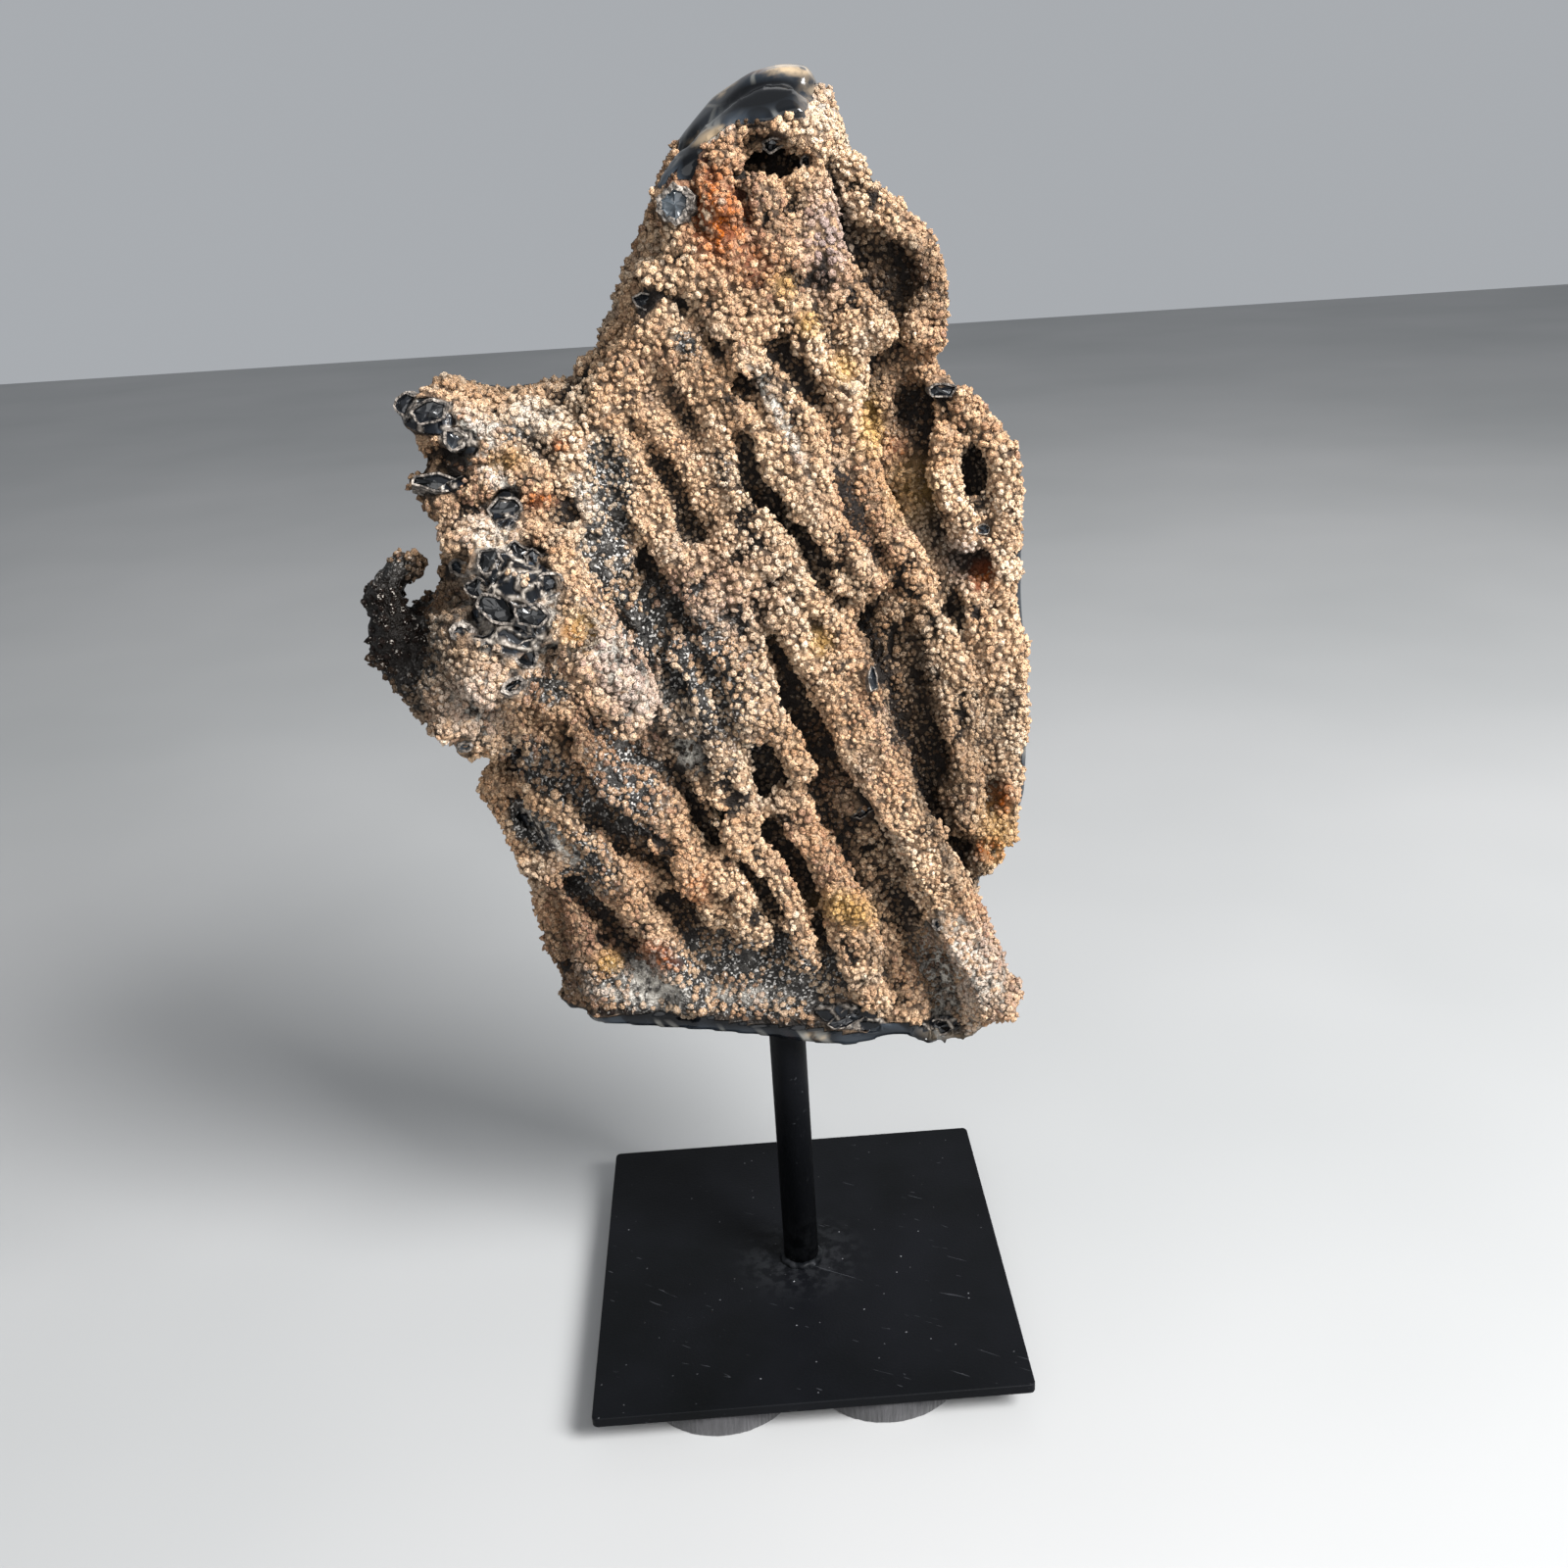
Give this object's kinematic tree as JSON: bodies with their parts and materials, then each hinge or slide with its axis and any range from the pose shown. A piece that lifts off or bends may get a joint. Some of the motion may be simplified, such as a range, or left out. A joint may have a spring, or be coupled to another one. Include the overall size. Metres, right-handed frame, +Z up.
{
  "type": "fossil coral head",
  "caption": "Head of agatised fossil coral with knobbly branches on its face and a cut, polished back, held upright on a rod that stands on a square plate with felt pads.",
  "frame": {"origin": "centre of the whole object's box, on the floor under the felt pads", "axes": "+Z up along the rod, +X to the right and +Y away from the viewer of the natural face, so the polished back looks to +Y"},
  "size_m": [0.1692, 0.12, 0.34],
  "materials": {
    "coral": "opaque agate with a rough tan crust and polished black edges",
    "stand_paint": "satin black paint",
    "felt": "dark grey felt"
  },
  "bodies": {
    "root": {"coral_head": "coral", "rod": "stand_paint", "base_plate": "stand_paint", "felt_pad_front_left": "felt", "felt_pad_front_right": "felt", "felt_pad_rear_left": "felt", "felt_pad_rear_right": "felt"}
  },
  "joints": []
}
